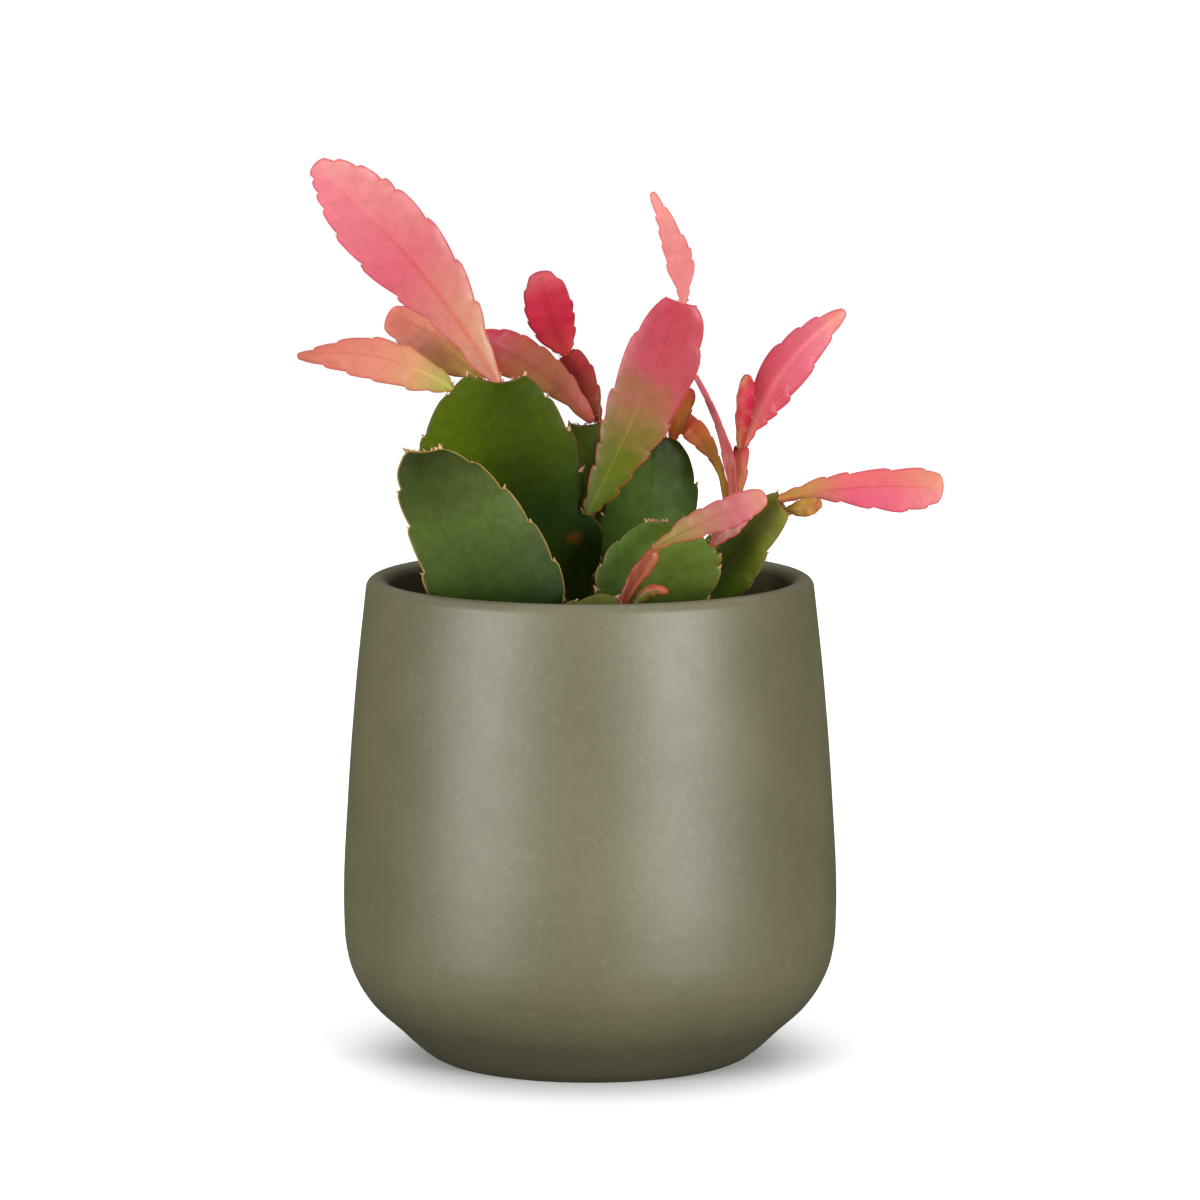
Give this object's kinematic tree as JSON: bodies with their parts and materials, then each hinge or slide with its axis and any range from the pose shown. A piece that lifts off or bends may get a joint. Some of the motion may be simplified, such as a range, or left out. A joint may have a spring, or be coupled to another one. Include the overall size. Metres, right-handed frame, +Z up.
{
  "type": "potted rhipsalis",
  "caption": "Flat-stemmed rhipsalis with notched green pads and red young shoots, planted in a rounded ceramic pot that stands on a flat foot.",
  "frame": {"origin": "centre of the pot's flat foot, on the surface it stands on", "axes": "+Z up along the pot's axis; -Y towards the viewer, the side the flat pads face; +X to the viewer's right"},
  "size_m": [0.1679, 0.13, 0.2371],
  "materials": {
    "pot": "smooth satin olive grey glaze",
    "soil": "damp dark potting soil",
    "green_pad": "smooth waxy olive green skin",
    "deep_green_pad": "smooth waxy blue green skin",
    "rose_shoot": "smooth young skin, rose pink",
    "coral_shoot": "smooth young skin, coral and peach",
    "crimson_shoot": "smooth young skin, crimson",
    "olive_shoot": "smooth young skin, olive gold"
  },
  "bodies": {
    "root": {"pot": "pot", "soil": "soil", "pad_left": "green_pad", "pad_front_right": "green_pad", "pad_right": "green_pad", "pad_low_front": "green_pad", "pad_front_left": "deep_green_pad", "pad_back": "deep_green_pad", "pad_middle_right": "deep_green_pad", "shoot_left_tall": "rose_shoot", "shoot_middle": "rose_shoot", "shoot_right_thin": "rose_shoot", "shoot_right_tall": "rose_shoot", "shoot_far_right": "rose_shoot", "shoot_front": "rose_shoot", "shoot_left_low": "coral_shoot", "shoot_left_back": "coral_shoot", "shoot_back_curved": "coral_shoot", "shoot_middle_top": "coral_shoot", "shoot_right_bent": "coral_shoot", "shoot_right_stem": "coral_shoot", "shoot_front_back": "coral_shoot", "shoot_back_dark": "crimson_shoot", "shoot_back_crimson": "crimson_shoot", "shoot_right_bud": "crimson_shoot", "shoot_front_stem": "crimson_shoot", "shoot_front_hook": "crimson_shoot", "shoot_gold": "olive_shoot", "shoot_far_right_bud": "olive_shoot"}
  },
  "joints": []
}
